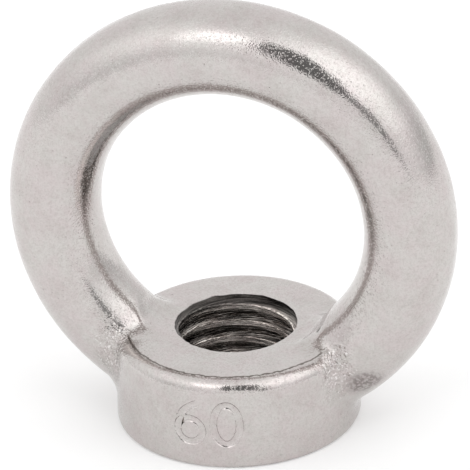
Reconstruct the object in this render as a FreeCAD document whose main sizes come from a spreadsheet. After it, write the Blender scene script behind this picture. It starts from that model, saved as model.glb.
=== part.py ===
"""A lifting eye nut: one steel forging, a ring that stands on a low round collar, with a tapped hole up the collar.

Millimetres. The origin lies on the thread's axis in the seating face, with +Z up through the ring
and the ring's own axis along Y.
"""
import FreeCAD, Part
import math
import os
import Sketcher

NODE = "eye_nut"
UP = FreeCAD.Vector(0, 0, 1)
THROUGH_RING = FreeCAD.Vector(0, 1, 0)

# Every size that can be set by itself: its name, its value and what it measures.
DRIVING_SIZES = (
    ("ring_outer_diameter", 60.0, "across the outside of the ring"),
    ("ring_bar_diameter", 12.0, "thickness of the ring, measured along its radius"),
    ("parting_land", 0.5, "flat band where the two halves of the bar meet, on the ring's mid plane"),
    ("ring_dip", 1.5, "how far the ring's outer circle, drawn whole, reaches under the seating face"),
    ("collar_diameter", 32.8, "across the collar"),
    ("collar_height", 12.5, "from the seating face to the faced top of the collar"),
    ("shoulder_radius", 2.0, "rounding of the collar's top edge"),
    ("seat_chamfer", 0.5, "edge break round the seating face's rim"),
    ("root_radius", 1.5, "blend where the ring grows out of the collar"),
    ("facing_diameter", 24.0, "reach of the facing cutter on top of the collar"),
    ("facing_corner_radius", 2.0, "corner that the facing cutter leaves against the ring's roots"),
    ("thread_diameter", 18.0, "nominal diameter of the thread"),
    ("thread_pitch", 2.5, "pitch of the thread"),
    ("mouth_chamfer", 0.45, "edge break at both mouths of the tapped hole"),
)

# An ISO metric thread's minor diameter is the nominal one less this many pitches.
MINOR_DIAMETER_DROP = 1.0825

RING_CENTRE_HEIGHT = "Sizes.ring_outer_diameter / 2 - Sizes.ring_dip"
MINOR_DIAMETER = f"Sizes.thread_diameter - {MINOR_DIAMETER_DROP} * Sizes.thread_pitch"


def make_sheet(document):
    """Write the driving sizes into a sheet, one row for each, so that every feature can refer to them."""
    sheet = document.addObject("Spreadsheet::Sheet", "Sizes")
    for row, (alias, value, meaning) in enumerate(DRIVING_SIZES, start=1):
        sheet.set(f"A{row}", meaning)
        sheet.set(f"B{row}", str(value))
        sheet.setAlias(f"B{row}", alias)
    document.recompute()
    return sheet


def new_sketch(body, name, plane_role):
    """Attach an empty sketch to one of the body's own origin planes."""
    sketch = body.newObject("Sketcher::SketchObject", name)
    plane = next(item for item in body.Origin.OriginFeatures if item.Role == plane_role)
    sketch.AttachmentSupport = [(plane, "")]
    sketch.MapMode = "FlatFace"
    return sketch


def bind(sketch, kind, name, references, expression, value):
    """Add a dimension to a sketch, name it, and tie it to the sheet."""
    index = sketch.addConstraint(Sketcher.Constraint(kind, *references, value))
    sketch.renameConstraint(index, name)
    sketch.setExpression(f"Constraints.{name}", expression)


def add_circle(sketch, name, expression, value):
    """Draw a circle on the sketch's origin, with its diameter tied to the sheet."""
    circle = sketch.addGeometry(Part.Circle(FreeCAD.Vector(0, 0, 0), UP, value / 2), False)
    sketch.addConstraint(Sketcher.Constraint("Coincident", circle, 3, -1, 1))
    bind(sketch, "Diameter", name, (circle,), expression, value)


def points_along(axis, direction):
    """Tell whether two directions lie on one line, whichever way each points."""
    return axis.cross(direction).Length < FreeCAD.Base.Precision.angular()


def edges_where(feature, wanted):
    """Name the edges of a feature for which wanted(edge, its faces) is true."""
    shape = feature.Shape
    names = []
    for number, edge in enumerate(shape.Edges, start=1):
        if wanted(edge, shape.ancestorsOfType(edge, Part.Face)):
            names.append(f"Edge{number}")
    if not names:
        raise RuntimeError(f"{feature.Name} has no edge to dress")
    return names


def is_level_circle(edge, height, radius):
    """Tell whether an edge is the round edge of this radius that lies level at this height."""
    curve = edge.Curve
    if curve.TypeId != "Part::GeomCircle" or not points_along(curve.Axis, UP):
        return False
    slack = FreeCAD.Base.Precision.approximation()
    return abs(curve.Center.z - height) < slack and abs(curve.Radius - radius) < slack


def dress_edges(body, name, kind, base, names, size_name, expression):
    """Round or chamfer the named edges by a size tied to the sheet."""
    dressing = body.newObject(kind, name)
    dressing.Base = (base, names)
    dressing.setExpression(size_name, expression)
    body.Document.recompute()
    return dressing


def add_fillet(body, name, base, names, expression):
    return dress_edges(body, name, "PartDesign::Fillet", base, names, "Radius", expression)


def add_chamfer(body, name, base, names, expression):
    return dress_edges(body, name, "PartDesign::Chamfer", base, names, "Size", expression)


def make_collar(body, sheet):
    """Raise the round collar, round its top shoulder and break the rim of its seating face."""
    outline = new_sketch(body, "collar_outline", "XY_Plane")
    add_circle(outline, "collar_diameter", "Sizes.collar_diameter", float(sheet.collar_diameter))
    collar = body.newObject("PartDesign::Pad", "collar")
    collar.Profile = outline
    collar.setExpression("Length", "Sizes.collar_height")
    body.Document.recompute()
    radius = sheet.collar_diameter / 2
    top_rim = edges_where(collar, lambda edge, faces: is_level_circle(edge, sheet.collar_height, radius))
    shoulder = add_fillet(body, "shoulder", collar, top_rim, "Sizes.shoulder_radius")
    seat_rim = edges_where(shoulder, lambda edge, faces: is_level_circle(edge, 0, radius))
    return add_chamfer(body, "seat_edge", shoulder, seat_rim, "Sizes.seat_chamfer")


def make_ring(body, sheet):
    """Turn the bar's section about the ring's axis: two half rounds, with the parting land between them."""
    section = new_sketch(body, "ring_section", "YZ_Plane")
    section.setExpression(".AttachmentOffset.Base.y", RING_CENTRE_HEIGHT)
    bar = sheet.ring_bar_diameter / 2
    land = sheet.parting_land / 2
    crown = sheet.ring_outer_diameter / 2
    middle = crown - bar
    inner = middle - bar

    def half_round(side, start):
        circle = Part.Circle(FreeCAD.Vector(side * land, middle, 0), UP, bar)
        return Part.ArcOfCircle(circle, start, start + math.pi)

    def flat(height, direction):
        start = FreeCAD.Vector(-direction * land, height, 0)
        return Part.LineSegment(start, FreeCAD.Vector(direction * land, height, 0))

    outline = [half_round(-1, math.pi / 2), flat(inner, 1), half_round(1, -math.pi / 2), flat(crown, -1)]
    front, inside, rear, outside = section.addGeometry(outline, False)
    for first, second in ((front, inside), (inside, rear), (rear, outside), (outside, front)):
        section.addConstraint(Sketcher.Constraint("Tangent", first, 2, second, 1))
    section.addConstraint(Sketcher.Constraint("Equal", front, rear))
    section.addConstraint(Sketcher.Constraint("Symmetric", inside, 1, inside, 2, -2))
    bind(section, "Radius", "bar_radius", (front,), "Sizes.ring_bar_diameter / 2", bar)
    bind(section, "DistanceX", "parting_land", (inside, 1, inside, 2), "Sizes.parting_land", 2 * land)
    bind(section, "DistanceY", "crown_height", (-1, 1, outside, 1), "Sizes.ring_outer_diameter / 2", crown)
    ring = body.newObject("PartDesign::Revolution", "ring")
    ring.Profile = section
    ring.ReferenceAxis = (section, ["H_Axis"])
    ring.Angle = 360
    body.Document.recompute()
    return ring


def trim_seat(body, sheet):
    """Machine the seating face, which takes off the low arc of the ring that dips under the collar."""
    outline = new_sketch(body, "seat_cut_outline", "XY_Plane")
    add_circle(outline, "cut_diameter", "Sizes.ring_outer_diameter", float(sheet.ring_outer_diameter))
    seat = body.newObject("PartDesign::Pocket", "seat_cut")
    seat.Profile = outline
    seat.Type = "ThroughAll"
    body.Document.recompute()
    return seat


def blend_roots(body, seat):
    """Round the two closed lines where the ring leaves the collar."""

    def is_root(edge, faces):
        of_ring = [points_along(face.Surface.Axis, THROUGH_RING) for face in faces]
        return len(faces) == 2 and of_ring[0] != of_ring[1]

    return add_fillet(body, "root_blend", seat, edges_where(seat, is_root), "Sizes.root_radius")


def face_top(body, sheet):
    """Cut the flat on top of the collar with a round-cornered cutter, which bites into the ring's roots."""
    path = new_sketch(body, "facing_profile", "XZ_Plane")
    reach = sheet.facing_diameter / 2
    corner = sheet.facing_corner_radius
    floor = float(sheet.collar_height)
    ceiling = sheet.ring_outer_diameter / 2 - sheet.ring_dip
    centre = FreeCAD.Vector(reach - corner, floor + corner, 0)
    arc = Part.ArcOfCircle(Part.Circle(centre, UP, corner), -math.pi / 2, 0)
    corners = ((0, floor), (reach - corner, floor), (reach, floor + corner), (reach, ceiling), (0, ceiling))
    points = [FreeCAD.Vector(across, height, 0) for across, height in corners]
    outline = [
        Part.LineSegment(points[0], points[1]),
        arc,
        Part.LineSegment(points[2], points[3]),
        Part.LineSegment(points[3], points[4]),
        Part.LineSegment(points[4], points[0]),
    ]
    bottom, rounding, side, top, core = path.addGeometry(outline, False)
    for first, second in ((bottom, rounding), (rounding, side)):
        path.addConstraint(Sketcher.Constraint("Tangent", first, 2, second, 1))
    for first, second in ((side, top), (top, core), (core, bottom)):
        path.addConstraint(Sketcher.Constraint("Coincident", first, 2, second, 1))
    path.addConstraint(Sketcher.Constraint("Horizontal", bottom))
    path.addConstraint(Sketcher.Constraint("Vertical", side))
    path.addConstraint(Sketcher.Constraint("Horizontal", top))
    path.addConstraint(Sketcher.Constraint("PointOnObject", core, 1, -2))
    path.addConstraint(Sketcher.Constraint("PointOnObject", core, 2, -2))
    bind(path, "Radius", "corner_radius", (rounding,), "Sizes.facing_corner_radius", corner)
    bind(path, "DistanceX", "reach", (-1, 1, side, 2), "Sizes.facing_diameter / 2", reach)
    bind(path, "DistanceY", "floor_height", (-1, 1, core, 2), "Sizes.collar_height", floor)
    bind(path, "DistanceY", "ceiling_height", (-1, 1, core, 1), RING_CENTRE_HEIGHT, ceiling)
    facing = body.newObject("PartDesign::Groove", "top_facing")
    facing.Profile = path
    facing.ReferenceAxis = (path, ["V_Axis"])
    facing.Angle = 360
    body.Document.recompute()
    return facing


def bore_core(body, sheet):
    """Drill the tapping hole through the collar at the thread's minor diameter, and break both its mouths."""
    minor_diameter = sheet.thread_diameter - MINOR_DIAMETER_DROP * sheet.thread_pitch
    mark = new_sketch(body, "core_mark", "XY_Plane")
    mark.setExpression(".AttachmentOffset.Base.z", "Sizes.collar_height")
    add_circle(mark, "core_diameter", MINOR_DIAMETER, minor_diameter)
    core = body.newObject("PartDesign::Hole", "core_hole")
    core.Profile = mark
    body.Document.recompute()
    core.DepthType = "ThroughAll"
    core.setExpression("Diameter", MINOR_DIAMETER)
    body.Document.recompute()

    def is_mouth(edge, faces):
        levels = (0, sheet.collar_height)
        return any(is_level_circle(edge, level, minor_diameter / 2) for level in levels)

    return add_chamfer(body, "mouths", core, edges_where(core, is_mouth), "Sizes.mouth_chamfer")


def make_eye_nut(document, sheet):
    """Forge the blank, then machine it: collar, ring and blends first, then seat, top and tapping hole."""
    body = document.addObject("PartDesign::Body", NODE)
    body.Label = NODE
    make_collar(body, sheet)
    make_ring(body, sheet)
    seat = trim_seat(body, sheet)
    blend = blend_roots(body, seat)
    facing = face_top(body, sheet)
    mouths = bore_core(body, sheet)
    for cut, base in ((facing, blend), (mouths, facing)):
        if cut.Shape.Volume >= base.Shape.Volume:
            raise RuntimeError(f"{cut.Name} took no metal away")
    return body


def check(document, body):
    """Stop if a feature failed, or if the finished body isn't one sound solid."""
    for item in document.Objects:
        if "Invalid" in item.State or "Error" in item.State:
            raise RuntimeError(f"{item.Name} failed: {item.State}")
    shape = body.Shape
    if shape.isNull() or not shape.isValid() or len(shape.Solids) != 1:
        raise RuntimeError(f"{body.Label} isn't one sound solid")


def main():
    document = FreeCAD.newDocument("lifting_eye_nut")
    sheet = make_sheet(document)
    body = make_eye_nut(document, sheet)
    document.recompute()
    check(document, body)
    os.makedirs("parts", exist_ok=True)
    body.Shape.exportStep(f"parts/{body.Label}.step")
    box = body.Shape.optimalBoundingBox()
    print(f"{body.Label}: {body.Shape.Volume:.1f} mm3, {len(body.Shape.Faces)} faces")
    print(f"box {box.XLength:.2f} x {box.YLength:.2f} x {box.ZLength:.2f} mm")


main()
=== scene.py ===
# %% [markdown]
# # A lifting eye nut in tumbled stainless steel
# The real part is one steel forging: a ring that stands on a low round collar, with a tapped hole up
# the collar. It is screwed onto a stud, and a hook or shackle goes through the ring.
# The lesson follows the workshop's order. The blank is forged as one soft form, then it is machined
# with sharp cutters, then it is tumbled bright. The camera and the studio come first.

import bpy
import math
from mathutils import Matrix, Vector


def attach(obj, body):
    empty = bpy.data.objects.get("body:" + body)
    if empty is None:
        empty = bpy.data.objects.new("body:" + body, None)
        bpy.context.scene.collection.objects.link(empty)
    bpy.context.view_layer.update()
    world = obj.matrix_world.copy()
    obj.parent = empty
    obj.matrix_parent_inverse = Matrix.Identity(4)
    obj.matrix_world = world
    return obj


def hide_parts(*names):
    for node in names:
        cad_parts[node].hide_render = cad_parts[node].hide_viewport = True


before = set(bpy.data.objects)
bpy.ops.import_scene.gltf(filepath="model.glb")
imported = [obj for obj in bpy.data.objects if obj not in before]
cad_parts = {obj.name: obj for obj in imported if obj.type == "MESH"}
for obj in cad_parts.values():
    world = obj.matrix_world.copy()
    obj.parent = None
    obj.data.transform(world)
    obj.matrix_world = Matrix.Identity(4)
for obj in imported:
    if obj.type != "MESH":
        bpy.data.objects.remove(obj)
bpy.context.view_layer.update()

# %% [markdown]
# ## Units
# Blender works in metres. A small part reads better in millimetres, so every size below is in
# millimetres and goes through this one factor on its way into the scene.

# %% Millimetres
MM = 0.001

# %% [markdown]
# ## The camera
# A camera is a place, a direction and a focal length. This one stands about 40 cm off, a little to
# the right and above, with a long lens, so near and far parts of the ring keep nearly the same scale.
# Two angles and a distance are easier to judge from a picture than three coordinates, so the place is
# worked out from them. A small roll levels the view.

# %% Place the camera
VIEW_AZIMUTH = math.radians(16.016)
VIEW_ELEVATION = math.radians(26.172)
VIEW_ROLL = math.radians(-2.527)
VIEW_DISTANCE = 403.376
AIM_RIGHT = 0.4286
AIM_UP = 1.7781
AIM_HEIGHT = 23.8095
FOCAL_LENGTH = 235.315


def make_camera():
    """Put the camera on a ball round the aim point, looking in, and give its lens its length."""
    back = Vector((
        math.sin(VIEW_AZIMUTH) * math.cos(VIEW_ELEVATION),
        -math.cos(VIEW_AZIMUTH) * math.cos(VIEW_ELEVATION),
        math.sin(VIEW_ELEVATION),
    ))
    level_right = Vector((math.cos(VIEW_AZIMUTH), math.sin(VIEW_AZIMUTH), 0))
    level_up = back.cross(level_right)
    right = level_right * math.cos(VIEW_ROLL) + level_up * math.sin(VIEW_ROLL)
    up = level_up * math.cos(VIEW_ROLL) - level_right * math.sin(VIEW_ROLL)
    aim = level_right * AIM_RIGHT + level_up * AIM_UP + Vector((0, 0, AIM_HEIGHT))
    place = (aim + back * VIEW_DISTANCE) * MM
    lens = bpy.data.cameras.new("view")
    lens.lens = FOCAL_LENGTH
    lens.clip_start = 0.01
    camera = bpy.data.objects.new("view", lens)
    camera.matrix_world = Matrix.Translation(place) @ Matrix((right, up, back)).transposed().to_4x4()
    bpy.context.scene.collection.objects.link(camera)
    bpy.context.scene.camera = camera
    return camera


camera = make_camera()
print("camera at, metres:", [round(value, 4) for value in camera.matrix_world.translation])

# %% [markdown]
# ## Writing node trees as arithmetic
# Both the shape and the finish are made with node trees. Wiring twenty Math nodes by hand hides the
# formula, so a small class stands for one socket, and adding, multiplying or comparing two of them
# adds the node that does it. A second class stands for a tree. One of its methods adds any other
# node, and the rest are short names for formulas that come up often.

# %% A socket that can be reckoned with
class Term:
    """One output socket. Arithmetic on it adds Math nodes, or Vector Math nodes where it is a vector."""

    def __init__(self, tree, socket):
        self.tree = tree
        self.socket = socket

    def output(self, name):
        return Term(self.tree, self.socket.node.outputs[name])

    def combine(self, operation, first, second):
        if any(isinstance(item, Term) and item.socket.type == "VECTOR" for item in (first, second)):
            return self.tree.add("ShaderNodeVectorMath", {"operation": operation}, {0: first, 1: second})
        return self.tree.math(operation, first, second)

    def __add__(self, other):
        return self.combine("ADD", self, other)

    def __sub__(self, other):
        return self.combine("SUBTRACT", self, other)

    def __mul__(self, other):
        return self.combine("MULTIPLY", self, other)

    def __truediv__(self, other):
        return self.combine("DIVIDE", self, other)

    def __radd__(self, other):
        return self.combine("ADD", other, self)

    def __rsub__(self, other):
        return self.combine("SUBTRACT", other, self)

    def __rmul__(self, other):
        return self.combine("MULTIPLY", other, self)

    def __neg__(self):
        return self * -1

    def __abs__(self):
        return self.tree.math("ABSOLUTE", self)

    def at_least(self, other):
        return self.combine("MAXIMUM", self, other)

    def at_most(self, other):
        return self.combine("MINIMUM", self, other)


# %% A tree that adds nodes
class Tree:
    """A node tree. Its method add makes any node from its type, its settings and its inputs."""

    def __init__(self, tree):
        self.tree = tree

    def add(self, kind, settings=None, values=None):
        node = self.tree.nodes.new(kind)
        for name, value in (settings or {}).items():
            setattr(node, name, value)
        for key, value in (values or {}).items():
            for item in value if isinstance(value, list) else [value]:
                if isinstance(item, Term):
                    self.tree.links.new(item.socket, node.inputs[key])
                else:
                    node.inputs[key].default_value = item
        shown = [socket for socket in node.outputs if socket.enabled]
        return Term(self, shown[0]) if shown else node

    def math(self, operation, *operands):
        return self.add("ShaderNodeMath", {"operation": operation}, dict(enumerate(operands)))

    def split(self, vector):
        parts = self.add("ShaderNodeSeparateXYZ", {}, {0: vector})
        return [parts.output(name) for name in "XYZ"]

    def join(self, *parts):
        return self.add("ShaderNodeCombineXYZ", {}, dict(enumerate(parts)))

    def length(self, *parts):
        """The root of the sum of squares."""
        return self.math("SQRT", sum((part * part for part in parts[1:]), parts[0] * parts[0]))

    def step(self, value, low, high):
        """Rise smoothly from 0 at low to 1 at high."""
        settings = {"interpolation_type": "SMOOTHSTEP"}
        sockets = {"Value": value, "From Min": low, "From Max": high}
        return self.add("ShaderNodeMapRange", settings, sockets)

    def fall(self, value, low, high):
        """Fall smoothly from 1 at low to 0 at high."""
        return 1 - self.step(value, low, high)


def new_shape_tree(name, inputs, output_type="NodeSocketGeometry"):
    """Start a Geometry Nodes group: give the tree, its inputs by name, and the node to end it in."""
    group = bpy.data.node_groups.new(name, "GeometryNodeTree")
    for label, (kind, value) in inputs.items():
        socket = group.interface.new_socket(label, in_out="INPUT", socket_type=kind)
        if value is not None:
            socket.default_value = value
    group.interface.new_socket("Result", in_out="OUTPUT", socket_type=output_type)
    tree = Tree(group)
    source = group.nodes.new("NodeGroupInput")
    end = group.nodes.new("NodeGroupOutput")
    return tree, {label: Term(tree, source.outputs[label]) for label in inputs}, end


# %% [markdown]
# ## The forged blank as a distance field
# A forging is one soft form: the ring runs into the collar through rounded roots, and nothing on it is
# quite straight. Boxes and cylinders joined by booleans would leave creases to bevel by hand. A
# distance field is simpler. It is a formula that says, for any point, how far it lies from the metal,
# negative inside. Two forms are joined by taking the smaller distance, and rounding that choice gives
# the root its blend. The collar leans in a little towards its top, by the taper given per millimetre
# of height.

# %% Sizes of the blank and of the facing cut
BLANK_SIZES = {
    "Ring Outer Diameter": 60.0,
    "Bar Diameter": 12.0,
    "Parting Land": 0.5,
    "Ring Dip": 1.5,
    "Collar Diameter": 32.8,
    "Collar Height": 12.5,
    "Collar Taper": 0.036,
    "Shoulder Radius": 2.0,
    "Shoulder Overlap": 0.03,
    "Rim Radius": 0.6,
    "Root Radius": 1.5,
    "Facing Diameter": 24.0,
    "Facing Corner": 3.0,
    "Tumbled Edge": 1.2,
    "Unevenness": 0.05,
}
VOXEL = 0.37


def size_inputs(sizes):
    return {name: ("NodeSocketFloat", value) for name, value in sizes.items()}


# %% Build the distance field
def rounded_slab(tree, across, height, reach, half_height, rounding):
    """Distance from a disc with round edges, seen in the plane of its radius and its height."""
    out = across - (reach - rounding)
    over = abs(height) - (half_height - rounding)
    corner = tree.length(out.at_least(0), over.at_least(0))
    return corner + out.at_least(over).at_most(0) - rounding


def cut_round(tree, metal, side, rounding):
    """Metal kept on the inner side of a surface, with the edge between them rounded over."""
    edge = tree.length((metal + rounding).at_least(0), (side + rounding).at_least(0))
    return metal.at_least(side).at_most(-rounding) + edge


def build_field():
    """Make the node group that gives the distance from the blank, in millimetres."""
    inputs = {"Position": ("NodeSocketVector", None), **size_inputs(BLANK_SIZES)}
    tree, size, end = new_shape_tree("distance_from_blank", inputs, "NodeSocketFloat")
    in_millimetres = {0: size["Position"], "Scale": 1 / MM}
    position = tree.add("ShaderNodeVectorMath", {"operation": "SCALE"}, in_millimetres)
    x, y, z = tree.split(position)
    from_axis = tree.length(x, y)

    ring_height = size["Ring Outer Diameter"] / 2 - size["Ring Dip"]
    bar = size["Bar Diameter"] / 2
    ring_radius = size["Ring Outer Diameter"] / 2 - bar
    off_plane = (abs(y) - size["Parting Land"] / 2).at_least(0)
    ring = tree.length(tree.length(x, z - ring_height) - ring_radius, off_plane) - bar
    ring_foot = 2.5
    ring = ring.at_least(ring_foot - z)

    flat = size["Collar Height"]
    blank_top = flat + size["Shoulder Overlap"]
    depth_under_seat = 4.0
    half = (blank_top + depth_under_seat) / 2
    from_middle = z - blank_top + half
    across = from_axis + z.at_least(0) * size["Collar Taper"]
    collar_radius = size["Collar Diameter"] / 2
    collar = rounded_slab(tree, across, from_middle, collar_radius, half, size["Shoulder Radius"])
    collar = collar.at_least(z - flat)

    blend = size["Root Radius"]
    near_ring = (blend - ring).at_least(0)
    near_collar = (blend - collar).at_least(0)
    joined = ring.at_most(collar).at_least(blend) - tree.length(near_ring, near_collar)

    rough = tree.add(
        "ShaderNodeTexNoise",
        {"noise_dimensions": "3D"},
        {"Vector": position, "Scale": 0.16, "Detail": 2.0, "Roughness": 0.5},
    )
    even_rise, uneven_rise = 0.05, 0.6
    even_radius, uneven_radius = 14.6, 15.4
    above_flat = tree.step(z, flat + even_rise, flat + uneven_rise)
    clear_of_flat = above_flat.at_least(tree.step(from_axis, even_radius, uneven_radius))
    joined = joined - (rough - 0.5) * 2 * size["Unevenness"] * clear_of_flat

    reach = size["Facing Diameter"] / 2
    cut_half = (ring_height - flat) / 2
    cut_middle = (ring_height + flat) / 2
    cut = -rounded_slab(tree, from_axis, z - cut_middle, reach, cut_half, size["Facing Corner"])
    sharpest_edge = 0.001
    edge = (z - flat).at_least(sharpest_edge).at_most(size["Tumbled Edge"])
    faced = cut_round(tree, joined, cut, edge)
    distance = cut_round(tree, faced, -z, size["Rim Radius"])
    tree.tree.links.new(distance.socket, end.inputs["Result"])
    return tree.tree


field_group = build_field()
print("distance field:", len(field_group.nodes), "nodes")

# %% [markdown]
# ## From the field to a mesh
# Volume Cube measures the field on a fine grid, and Volume to Mesh puts a skin where it passes
# through zero. The skin's points are only near the true surface, so each is then moved along the
# field's slope by the distance that is left, twice, as a root is found by Newton's method.

# %% Build the forged blank
def build_forging():
    """Make the group that skins the distance field."""
    inputs = {**size_inputs(BLANK_SIZES), "Voxel": ("NodeSocketFloat", VOXEL)}
    tree, size, end = new_shape_tree("forged_blank", inputs)

    def distance_at(position):
        values = {"Position": position, **{name: size[name] for name in BLANK_SIZES}}
        return tree.add("GeometryNodeGroup", {"node_tree": field_group}, values)

    here = tree.add("GeometryNodeInputPosition")
    margin = 1.5
    half_width = size["Ring Outer Diameter"] / 2 + margin
    half_depth = size["Collar Diameter"] / 2 + margin
    top = size["Ring Outer Diameter"] - size["Ring Dip"] + margin
    volume = tree.add(
        "GeometryNodeVolumeCube",
        {},
        {
            "Density": -distance_at(here),
            "Background": -1.0,
            "Min": tree.join(-half_width * MM, -half_depth * MM, -margin * MM),
            "Max": tree.join(half_width * MM, half_depth * MM, top * MM),
            "Resolution X": 2 * half_width / size["Voxel"],
            "Resolution Y": 2 * half_depth / size["Voxel"],
            "Resolution Z": (top + margin) / size["Voxel"],
        },
    )
    skin = tree.add(
        "GeometryNodeVolumeToMesh",
        {"resolution_mode": "GRID"},
        {"Volume": volume, "Threshold": 0.0},
    )
    nudge = 0.02
    slopes = []
    for axis in ((nudge * MM, 0, 0), (0, nudge * MM, 0), (0, 0, nudge * MM)):
        slopes.append((distance_at(here + Vector(axis)) - distance_at(here - Vector(axis))) / (2 * nudge))
    slope = tree.join(*slopes)
    steepness = tree.length(*slopes)
    least_steepness_squared = 0.25
    newton_steps = 2
    share = -distance_at(here) * MM / (steepness * steepness).at_least(least_steepness_squared)
    move = tree.add("ShaderNodeVectorMath", {"operation": "SCALE"}, {0: slope, "Scale": share})
    for _ in range(newton_steps):
        skin = tree.add("GeometryNodeSetPosition", {}, {"Geometry": skin, "Offset": move})
    tree.tree.links.new(skin.socket, end.inputs["Result"])
    return tree.tree


forging_group = build_forging()
print("forged blank:", len(forging_group.nodes), "nodes")

# %% [markdown]
# ## The tap
# A thread is cut, so its shape is best made as the tool that cuts it: a screw with the thread's own
# profile. A flat grid is rolled up into it. Its columns go once round the axis and its rows climb the
# helix, sixteen to a turn, because the crest, the root and the flanks of an ISO thread all end on
# sixteenths of the pitch. After one turn the last column lies exactly on the first one a pitch up, so
# merging close points closes the seam. Across its crests the thread is 1.0825 pitches under its full
# diameter. The cutter tears the metal a little, and most of all where it comes out at the flat.

# %% Sizes of the thread
THREAD_DIAMETER = 18.0
THREAD_PITCH = 2.5
CREST_DROP = 1.0825
MINOR_DIAMETER = THREAD_DIAMETER - CREST_DROP * THREAD_PITCH
ROWS_PER_PITCH = 16
FLANK_START = 2
FLANK_ROWS = 5
PITCHES_BELOW = 2
PITCHES_ABOVE = 1

# %% Build the tap
def build_tap():
    """Make the group that rolls a grid up into a tap, closed at both ends."""
    inputs = {
        "Major Diameter": ("NodeSocketFloat", THREAD_DIAMETER),
        "Minor Diameter": ("NodeSocketFloat", MINOR_DIAMETER),
        "Pitch": ("NodeSocketFloat", THREAD_PITCH),
        "Low End": ("NodeSocketFloat", -0.8),
        "High End": ("NodeSocketFloat", 13.3),
        "Start Angle": ("NodeSocketFloat", math.radians(171)),
        "Tearing": ("NodeSocketFloat", 0.05),
        "Columns": ("NodeSocketInt", 96),
    }
    tree, size, end = new_shape_tree("thread_tap", inputs)
    pitches = tree.math("CEIL", (size["High End"] - size["Low End"]) / size["Pitch"])
    rows = (pitches + (PITCHES_BELOW + PITCHES_ABOVE)) * ROWS_PER_PITCH
    grid = tree.add(
        "GeometryNodeMeshGrid",
        {},
        {
            "Size X": size["Columns"],
            "Size Y": rows,
            "Vertices X": size["Columns"] + 1,
            "Vertices Y": rows + 1,
        },
    )
    across, along, _ = tree.split(tree.add("GeometryNodeInputPosition"))
    turn = across / size["Columns"] + 0.5
    row = along + rows / 2
    climb = row / ROWS_PER_PITCH + turn - PITCHES_BELOW
    height = size["Low End"] + climb * size["Pitch"]
    phase = tree.math("FRACT", row / ROWS_PER_PITCH)
    from_crest = (1 - abs(phase * 2 - 1)) * (ROWS_PER_PITCH / 2)
    depth = ((from_crest - FLANK_START) / FLANK_ROWS).at_least(0).at_most(1)
    minor = size["Minor Diameter"] / 2
    radius = minor + (size["Major Diameter"] / 2 - minor) * depth
    above_low_end = tree.math("GREATER_THAN", height, size["Low End"])
    inside = above_low_end * tree.math("LESS_THAN", height, size["High End"])
    angle = turn * 2 * math.pi + size["Start Angle"]
    cosine, sine = tree.math("COSINE", angle), tree.math("SINE", angle)
    tears_round, tears_up = 5, 3
    round_wall = tree.join(cosine * tears_round, sine * tears_round, height * tears_up)
    tear = tree.add("ShaderNodeTexNoise", {}, {"Vector": round_wall, "Scale": 1.0, "Detail": 2.0}) - 0.5
    flat = BLANK_SIZES["Collar Height"]
    mouth_depth, mouth_tearing = 0.7, 6
    torn = size["Tearing"] * (1 + mouth_tearing * tree.step(height, flat - mouth_depth, flat))
    radius = radius + tear * 2 * torn
    level = height.at_least(size["Low End"]).at_most(size["High End"])
    place = tree.join(radius * cosine * inside * MM, radius * sine * inside * MM, level * MM)
    tap = tree.add("GeometryNodeSetPosition", {}, {"Geometry": grid, "Position": place})
    tap = tree.add("GeometryNodeMergeByDistance", {"mode": "ALL"}, {"Geometry": tap, "Distance": 1e-7})
    tree.tree.links.new(tap.socket, end.inputs["Result"])
    return tree.tree


tap_group = build_tap()
print("tap:", len(tap_group.nodes), "nodes, crests", round(MINOR_DIAMETER, 3), "mm across")

# %% [markdown]
# ## The number on the collar
# The ring's outside diameter in millimetres is punched into the front of the collar. The figures are
# drawn as flat curves, and a low oval section is swept along them. The strokes are then wrapped round
# the wall so that they dip 0.2 mm into its skin, and taken out of the metal as the punch would press
# them in.

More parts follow.
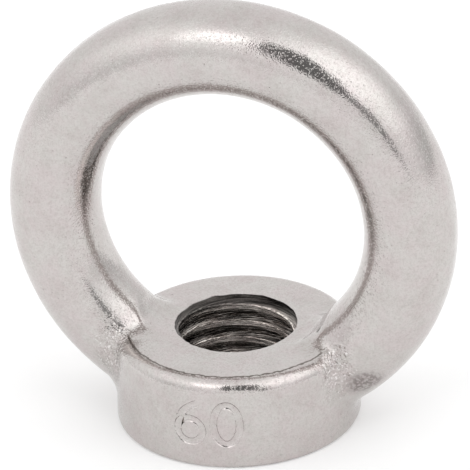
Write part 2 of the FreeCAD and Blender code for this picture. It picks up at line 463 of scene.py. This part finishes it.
# %% Build the number punch
def build_punch():
    """Make the group that gives the strokes of 60, wrapped round the collar's wall."""
    inputs = {
        "Wall Diameter": ("NodeSocketFloat", BLANK_SIZES["Collar Diameter"]),
        "Wall Taper": ("NodeSocketFloat", BLANK_SIZES["Collar Taper"]),
        "Stroke Half Width": ("NodeSocketFloat", 0.55),
        "Stroke Half Thickness": ("NodeSocketFloat", 0.3),
        "Stroke Lift": ("NodeSocketFloat", 0.1),
        "Figure Height": ("NodeSocketFloat", 5.6),
        "Figure Width": ("NodeSocketFloat", 3.5),
        "Spacing": ("NodeSocketFloat", 5.0),
        "Centre Height": ("NodeSocketFloat", 6.4),
        "Centre Angle": ("NodeSocketFloat", math.radians(-89.0)),
    }
    tree, size, end = new_shape_tree("number_punch", inputs)
    half_width = size["Figure Width"] / 2
    half_height = size["Figure Height"] / 2

    def circle(resolution):
        values = {"Resolution": resolution, "Radius": 1.0}
        return tree.add("GeometryNodeCurvePrimitiveCircle", {"mode": "RADIUS"}, values)

    def placed(curve, shift, scale):
        values = {"Geometry": curve, "Translation": shift, "Scale": scale}
        return tree.add("GeometryNodeTransform", {}, values)

    figure_points, section_points = 48, 24
    nought = placed(
        circle(figure_points),
        tree.join(size["Spacing"] / 2, 0, 0),
        tree.join(half_width, half_height, 1),
    )
    bowl_share, stem_bend, stem_lean = 0.6, 0.6, 0.6
    bowl_height = half_height * bowl_share
    six_middle = -size["Spacing"] / 2
    bowl = placed(
        circle(figure_points),
        tree.join(six_middle, bowl_height - half_height, 0),
        tree.join(half_width, bowl_height, 1),
    )
    stem = tree.add(
        "GeometryNodeCurveQuadraticBezier",
        {},
        {
            "Resolution": 24,
            "Start": tree.join(six_middle - half_width, bowl_height - half_height, 0),
            "Middle": tree.join(six_middle - half_width, half_height * stem_bend, 0),
            "End": tree.join(six_middle + half_width * stem_lean, half_height, 0),
        },
    )
    oval = tree.join(size["Stroke Half Width"], size["Stroke Half Thickness"], 1)
    section = placed(circle(section_points), (0, 0, 0), oval)
    strokes = [
        tree.add(
            "GeometryNodeCurveToMesh",
            {},
            {"Curve": curve, "Profile Curve": section, "Fill Caps": True},
        )
        for curve in (nought, bowl, stem)
    ]
    flat = tree.add("GeometryNodeJoinGeometry", {}, {"Geometry": strokes})
    along, up, out = tree.split(tree.add("GeometryNodeInputPosition"))
    wall = size["Wall Diameter"] / 2
    angle = size["Centre Angle"] + along / wall
    height = size["Centre Height"] + up
    reach = (wall - height * size["Wall Taper"] + size["Stroke Lift"] + out) * MM
    place = tree.join(
        reach * tree.math("COSINE", angle),
        reach * tree.math("SINE", angle),
        height * MM,
    )
    cutters = tree.add("GeometryNodeSetPosition", {}, {"Geometry": flat, "Position": place})
    tree.tree.links.new(cutters.socket, end.inputs["Result"])
    return tree.tree


punch_group = build_punch()
print("number punch:", len(punch_group.nodes), "nodes")

# %% [markdown]
# ## Machining
# The blank, the tap, the countersink at the seat and the punch come together in one tree. Mesh
# Boolean takes the tools out of the blank. At the upper mouth the groove simply runs out through the
# flat, as it does on the real nut. Edges that turn sharply are marked sharp, so the rest can be smooth.

# %% Build the finished nut
def build_nut(material):
    """Make the tree for the modifier: forge, bore, tap and mark the nut."""
    inputs = {
        **size_inputs(BLANK_SIZES),
        "Voxel": ("NodeSocketFloat", VOXEL),
        "Mouth Chamfer": ("NodeSocketFloat", 0.45),
        "Sharp Angle": ("NodeSocketFloat", math.radians(28)),
    }
    tree, size, end = new_shape_tree("eye_nut", inputs)
    sizes = {name: size[name] for name in (*BLANK_SIZES, "Voxel")}
    blank = tree.add("GeometryNodeGroup", {"node_tree": forging_group}, sizes)
    tap = tree.add("GeometryNodeGroup", {"node_tree": tap_group})
    punch = tree.add("GeometryNodeGroup", {"node_tree": punch_group})

    spare = 1.0
    mouth = MINOR_DIAMETER / 2 + size["Mouth Chamfer"]
    countersink = tree.add(
        "GeometryNodeMeshCone",
        {"fill_type": "NGON"},
        {
            "Vertices": 96,
            "Radius Top": (mouth - size["Mouth Chamfer"]) * MM,
            "Radius Bottom": (mouth + spare) * MM,
            "Depth": (spare + size["Mouth Chamfer"]) * MM,
        },
    )
    countersink = tree.add(
        "GeometryNodeTransform",
        {},
        {"Geometry": countersink, "Translation": (0, 0, -spare * MM)},
    )
    nut = tree.add(
        "GeometryNodeMeshBoolean",
        {"operation": "DIFFERENCE", "solver": "MANIFOLD"},
        {"Mesh 1": blank, "Mesh 2": [tap, countersink, punch]},
    )
    turn = tree.add("GeometryNodeInputMeshEdgeAngle")
    soft = tree.math("LESS_THAN", turn, size["Sharp Angle"])
    for domain, smooth in (("FACE", True), ("EDGE", soft)):
        values = {"Geometry": nut, "Shade Smooth": smooth}
        nut = tree.add("GeometryNodeSetShadeSmooth", {"domain": domain}, values)
    nut = tree.add("GeometryNodeRealizeInstances", {}, {"Geometry": nut})
    nut = tree.add("GeometryNodeSetMaterial", {}, {"Geometry": nut, "Material": material})
    tree.tree.links.new(nut.socket, end.inputs["Result"])
    return tree.tree


# %% [markdown]
# ## Tumbled stainless steel
# After machining the nut is tumbled with small stones until it is bright all over. Polished metal has
# almost no colour of its own, so what tells steel from plastic is how sharply it mirrors the room. A
# tumbled face mirrors it softly and unevenly: many tiny dents tilt the surface a little, and faint
# clouds are smoother or rougher than the rest.
#
# The stones don't reach everywhere, and where they don't the metal stays rough. In the crooks at the
# ring's feet the colour is darker in patches, and bright flecks are painted in as glints. A painted dark
# reflection sits in the right crook, and a painted dark reflection line runs along the front edge of the
# flat. The ridged thread is painted dark as shade, darkest under the flat's lip, with painted highlights
# on its crests and round its mouth. Each of these places is a mask reckoned from the position, in
# millimetres, and noise frays its rim.

# %% Colours and places of the finish
STEEL_COLOUR = (0.595, 0.573, 0.554, 1)
DULL_TINT = (0.8, 0.78, 0.77, 1)
WARM_TINT = (1.0, 0.955, 0.975, 1)
# The next three colours paint light: glints in the crooks, a dark reflection in the right crook that the real
# pits share, and a dark reflection line on the flat's edge.
GLINT_COLOUR = (0.9, 0.89, 0.88, 1)
PIT_AND_REFLECTION_TINT = (0.48, 0.46, 0.455, 1)
EDGE_REFLECTION_TINT = (0.3, 0.28, 0.26, 1)
# Hue of the thread's painted shade and highlights.
THREAD_SHADE_HUE = (1, 0.97, 0.93)
CROOK_MIDDLE = (15.2, 6.6, 10.3)
CROOK_REACH = (3.2, 2.4, 5.0)
# Middle and reach of the painted dark reflection in the right crook.
DARK_REFLECTION_MIDDLE = (18.6, -4.9, 8.6)
DARK_REFLECTION_REACH = (2.8, 2.0, 2.2)
# Radius of the painted dark reflection line on the flat.
EDGE_LINE_RADIUS = 14.32
# Radius of the painted highlight round the thread's mouth.
MOUTH_RADIUS = 7.76
BUMP_HEIGHT = 0.03

# %% Make the steel
def make_steel():
    """Make the material: tumbled metal, rough crooks with painted glints, painted dark reflections, and the
    thread's painted shade and highlights.
    """
    material = bpy.data.materials.new("tumbled_steel")
    material.use_nodes = True
    material.node_tree.nodes.clear()
    tree = Tree(material.node_tree)
    to_millimetres = Vector((1 / MM, 1 / MM, 1 / MM))
    place = tree.add("ShaderNodeTexCoord").output("Object") * to_millimetres
    flat = BLANK_SIZES["Collar Height"]
    thread_radius = THREAD_DIAMETER / 2

    def noise(scale, detail, roughness=0.5):
        """Soft noise with about as many swells to a millimetre as its scale says."""
        return tree.add(
            "ShaderNodeTexNoise",
            {"noise_dimensions": "3D"},
            {"Vector": place, "Scale": scale, "Detail": detail, "Roughness": roughness},
        )

    def reaches_from(middle, reach, *point):
        """How far a point lies from the middle of an oval, counted in the oval's own reach."""
        return tree.length(*((at - centre) / far for at, centre, far in zip(point, middle, reach)))

    def tint(colour, amount, other, blend="MULTIPLY"):
        """Mix another colour in by an amount, multiplying unless told otherwise."""
        settings = {"data_type": "RGBA", "blend_type": blend}
        return tree.add("ShaderNodeMix", settings, {0: amount, 6: colour, 7: other}).output(2)

    clouds = noise(0.3, 3.0)
    mottle = noise(2.0, 3.0, 0.6)
    cells = tree.add("ShaderNodeTexVoronoi", {"feature": "F1"}, {"Vector": place, "Scale": 1.3})
    chance = tree.split(cells.output("Color"))[0]
    pits = tree.fall(cells.output("Distance") / (chance * 0.16 + 0.01), 0.7, 1.3)
    pits = pits * tree.math("GREATER_THAN", chance, 0.35) * tree.step(noise(0.2, 2.0), 0.48, 0.62)
    x, y, z = tree.split(place)
    from_axis = tree.length(x, y)

    root = reaches_from(CROOK_MIDDLE, CROOK_REACH, abs(x), abs(y), z)
    root = tree.fall(root + noise(1.1, 2.0) * 0.8, 0.9, 1.5)

    # Painted dark reflection in the right crook, where the ring's outer wall meets the collar.
    scale = reaches_from(DARK_REFLECTION_MIDDLE, DARK_REFLECTION_REACH, x, y, z)
    scale = tree.fall(scale + mottle * 0.9, 0.9, 1.7) * (0.4 + 0.6 * tree.step(noise(2.2, 2.0), 0.4, 0.55))

    # A painted dark reflection line along the front edge of the flat.
    painted_edge_line = abs(from_axis - EDGE_LINE_RADIUS - (noise(1.4, 2.0) - 0.5) * 0.6)
    painted_edge_line = tree.fall(painted_edge_line, 0.05, 0.2) * tree.step(z, flat - 0.3, flat - 0.15)
    painted_edge_line = painted_edge_line * tree.fall(z, flat + 0.1, flat + 0.4) * tree.fall(y, 2, 9)

    # The thread's colour is painted shade, with painted highlights on the crests, round the mouth and along
    # the real ridges.
    thread = tree.fall(from_axis, thread_radius + 0.1, thread_radius + 0.3) * tree.fall(z, flat - 0.1, flat)
    crest_highlight = tree.fall(from_axis, 7.7, 8.3)
    ridges_and_painted_streaks = tree.add(
        "ShaderNodeTexNoise",
        {"noise_dimensions": "3D"},
        {"Vector": tree.join(x * 0.2, y * 0.2, z * 9), "Scale": 1.0, "Detail": 2.0, "Roughness": 0.7},
    )
    brow_highlight = tree.fall(abs(from_axis - MOUTH_RADIUS), 0.04, 0.13) * tree.step(mottle, 0.42, 0.6)
    painted_thread_light = (crest_highlight * 0.25 + 0.43) * (0.33 + 1.3 * tree.step(ridges_and_painted_streaks, 0.38, 0.62)) + brow_highlight * 1.1
    # Painted shade, darkest just under the flat's lip.
    painted_thread_light = painted_thread_light * (1 - tree.step(z, flat - 1.2, flat - 0.8) * 0.78)

    specks = tree.step(noise(4.5, 1.0), 0.4, 0.7)
    dull = tree.step(clouds, 0.4, 0.75) * 0.3 + tree.step(mottle, 0.35, 0.75) * 0.4 + specks * 0.4
    dull = dull + root * tree.step(mottle, 0.3, 0.6) * 0.6
    # Painted glints: bright flecks in the rough crooks.
    painted_glints = root * tree.step(noise(3.4, 1.0), 0.58, 0.68) * 0.6
    warmth = tree.step(noise(0.22, 2.0), 0.35, 0.7) * 0.7 + tree.step(noise(0.9, 2.0), 0.4, 0.65) * 0.45

    colour = tint(STEEL_COLOUR, dull.at_most(1), DULL_TINT)
    colour = tint(colour, painted_glints, GLINT_COLOUR, "MIX")
    colour = tint(colour, warmth, WARM_TINT)
    # The real pits share their tint with the painted dark reflection in the right crook.
    colour = tint(colour, scale.at_least(pits * 0.5), PIT_AND_REFLECTION_TINT)
    colour = tint(colour, painted_edge_line, EDGE_REFLECTION_TINT)
    # Paint the thread's shade and highlights into its colour.
    colour = tint(colour, thread, tree.join(*(painted_thread_light * share for share in THREAD_SHADE_HUE)))

    roughness = 0.07 + clouds * 0.05 + mottle * 0.07 + pits * 0.2 + root * 0.06 + thread * 0.06
    dents = tree.step(noise(3.6, 1.0), 0.56, 0.7)
    grain = noise(6.0, 0.0) * 0.35 + dents * 0.42 + noise(1.2, 2.0) * 0.25 + noise(0.4, 1.0) * 1.2
    grain = grain - pits * 0.4
    grain = grain + root * (noise(3.0, 1.0) * 6 + noise(1.2, 1.0) * 1.5)
    height = grain * (1 - thread) + ridges_and_painted_streaks * 5 * thread
    values = {"Strength": 1.0, "Distance": BUMP_HEIGHT * MM, "Height": height}
    bump = tree.add("ShaderNodeBump", {}, values)
    shader = tree.add(
        "ShaderNodeBsdfPrincipled",
        {},
        {"Base Color": colour, "Metallic": 1.0, "Roughness": roughness, "Normal": bump},
    )
    tree.add("ShaderNodeOutputMaterial", {}, {"Surface": shader})
    return material


steel = make_steel()
print("steel:", len(steel.node_tree.nodes), "nodes")

# %% [markdown]
# ## Making the piece
# The tree runs once, as a modifier on an empty object. Its evaluated result is kept as a plain mesh
# and the modifier goes, so nothing is left that could change later.

# %% Make the eye nut
def make_piece(name, group):
    """Run a shape tree once and keep its result as a plain mesh."""
    carrier = bpy.data.objects.new(name + "_tree", bpy.data.meshes.new(name + "_empty"))
    bpy.context.scene.collection.objects.link(carrier)
    modifier = carrier.modifiers.new("shape", "NODES")
    modifier.node_group = group
    for item in group.interface.items_tree:
        if item.in_out == "INPUT":
            modifier[item.identifier] = item.default_value
    bpy.context.view_layer.update()
    evaluated = carrier.evaluated_get(bpy.context.evaluated_depsgraph_get())
    mesh = bpy.data.meshes.new_from_object(evaluated)
    mesh.name = name
    bpy.data.objects.remove(carrier)
    piece = bpy.data.objects.new(name, mesh)
    bpy.context.scene.collection.objects.link(piece)
    return piece


nut = make_piece("nut_forging", build_nut(steel))
nut.data.calc_loop_triangles()
print("nut:", len(nut.data.vertices), "points,", len(nut.data.loop_triangles), "triangles")

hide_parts("eye_nut")
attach(nut, "root")

# %% [markdown]
# ## The studio
# Bright metal is a mirror, so the room is part of its look. The nut stands on a pale floor inside a
# white tent. Two soft boxes stand outside the tent, and their glow makes the two long highlights. The
# gap that the camera looks in through is dark, and the steel mirrors it as a thin dark streak.

# %% Lay the floor
def make_floor():
    """Make a wide pale floor with a little glow that only the camera and the mirrors see."""
    mesh = bpy.data.meshes.new("floor")
    reach = 3.0
    own_glow = 0.22
    corners = [(-reach, -reach, 0), (reach, -reach, 0), (reach, reach, 0), (-reach, reach, 0)]
    mesh.from_pydata(corners, [], [(0, 1, 2, 3)])
    floor = bpy.data.objects.new("floor", mesh)
    bpy.context.scene.collection.objects.link(floor)
    material = bpy.data.materials.new("pale_floor")
    material.use_nodes = True
    material.node_tree.nodes.clear()
    tree = Tree(material.node_tree)
    ray = tree.add("ShaderNodeLightPath")
    seen = ray.output("Is Camera Ray").at_least(ray.output("Is Glossy Ray")).at_least(
        ray.output("Is Transmission Ray")
    )
    shader = tree.add(
        "ShaderNodeBsdfPrincipled",
        {},
        {
            "Base Color": (0.8, 0.8, 0.8, 1),
            "Roughness": 0.9,
            "Specular IOR Level": 0.0,
            "Emission Color": (1, 1, 1, 1),
            "Emission Strength": seen * own_glow,
        },
    )
    tree.add("ShaderNodeOutputMaterial", {}, {"Surface": shader})
    mesh.materials.append(material)
    return floor


floor = make_floor()
print("floor:", floor.name, "with", len(floor.data.polygons), "face")

# %% [markdown]
# The tent is one world shader. Every light and dark place in it is an oval patch round a direction,
# given in degrees round from the front and up from the floor. A patch with a negative strength
# darkens. The left soft box is a wide patch with a small bright one inside it. The camera's gap is
# one dark patch and a fainter one beside it, which leans.

# %% Places and strengths of the glows
GLOWS = {
    "left box": dict(strength=0.35, azimuth=-36, elevation=45, half_width=34, half_height=20, softness=0.8),
    "left lamp": dict(strength=0.7, azimuth=-18, elevation=48, half_width=13, half_height=12, softness=0.45),
    "right box": dict(strength=0.7, azimuth=66, elevation=46, half_width=42, half_height=24, softness=0.7),
    "far corner": dict(strength=-0.34, azimuth=118, elevation=6, half_width=30, half_height=26, softness=0.8),
    "low corner": dict(strength=-0.12, azimuth=-42, elevation=8, half_width=26, half_height=14, softness=0.8),
}
CAMERA_GAP = dict(azimuth=17, elevation=37, half_width=16, half_height=20.5, softness=0.1)
SIDE_GAP = dict(azimuth=34, elevation=17, half_width=7, half_height=20, lean=32, softness=0.25)
SIDE_GAP_SHARE = 0.8
GAP_DARKNESS = 0.88
TENT_LEVEL = 1.02

# %% Pitch the tent
def heading(azimuth, elevation):
    """Give the direction at an angle round from the front, to the right, and an angle up."""
    turn, lift = math.radians(azimuth), math.radians(elevation)
    return Vector((math.sin(turn) * math.cos(lift), -math.cos(turn) * math.cos(lift), math.sin(lift)))


def patch(tree, toward, azimuth, elevation, half_width, half_height, softness, lean=0):
    """Mask an oval patch of the tent: 1 in its middle, 0 outside, with a soft rim."""
    middle = heading(azimuth, elevation)
    level = heading(azimuth + 90, 0)
    rise = level.cross(middle) * -1
    turn = math.radians(lean)
    wide = level * math.cos(turn) + rise * math.sin(turn)
    tall = rise * math.cos(turn) - level * math.sin(turn)

    def along(axis, reach):
        dot = tree.add("ShaderNodeVectorMath", {"operation": "DOT_PRODUCT"}, {0: toward, 1: axis})
        return dot.output("Value") / math.sin(math.radians(reach))

    off_middle = tree.length(along(wide, half_width), along(tall, half_height))
    in_front = tree.math("GREATER_THAN", along(middle, 90), 0)
    return tree.fall(off_middle, 1 - softness, 1 + softness) * in_front


def make_tent():
    """Light the scene from a white tent with soft glows and the dark gap of the camera."""
    world = bpy.data.worlds.new("tent")
    world.use_nodes = True
    world.node_tree.nodes.clear()
    tree = Tree(world.node_tree)
    toward = tree.add("ShaderNodeTexCoord").output("Generated")
    glow = 0
    for shape in GLOWS.values():
        place = {name: value for name, value in shape.items() if name != "strength"}
        glow = glow + patch(tree, toward, **place) * shape["strength"]
    side_gap = patch(tree, toward, **SIDE_GAP) * SIDE_GAP_SHARE
    gap = patch(tree, toward, **CAMERA_GAP).at_least(side_gap)
    level = (glow + TENT_LEVEL) * (1 - gap * GAP_DARKNESS)
    ray = tree.add("ShaderNodeLightPath")
    lit = tree.add("ShaderNodeBackground", {}, {"Color": (1, 1, 1, 1), "Strength": level})
    white = tree.add("ShaderNodeBackground", {}, {"Color": (1, 1, 1, 1), "Strength": 1.0})
    mixed = tree.add("ShaderNodeMixShader", {}, {0: ray.output("Is Camera Ray"), 1: lit, 2: white})
    tree.add("ShaderNodeOutputWorld", {}, {"Surface": mixed})
    bpy.context.scene.world = world
    return world


tent = make_tent()
print("tent:", len(tent.node_tree.nodes), "nodes")
bpy.context.scene.view_settings.view_transform = "Standard"
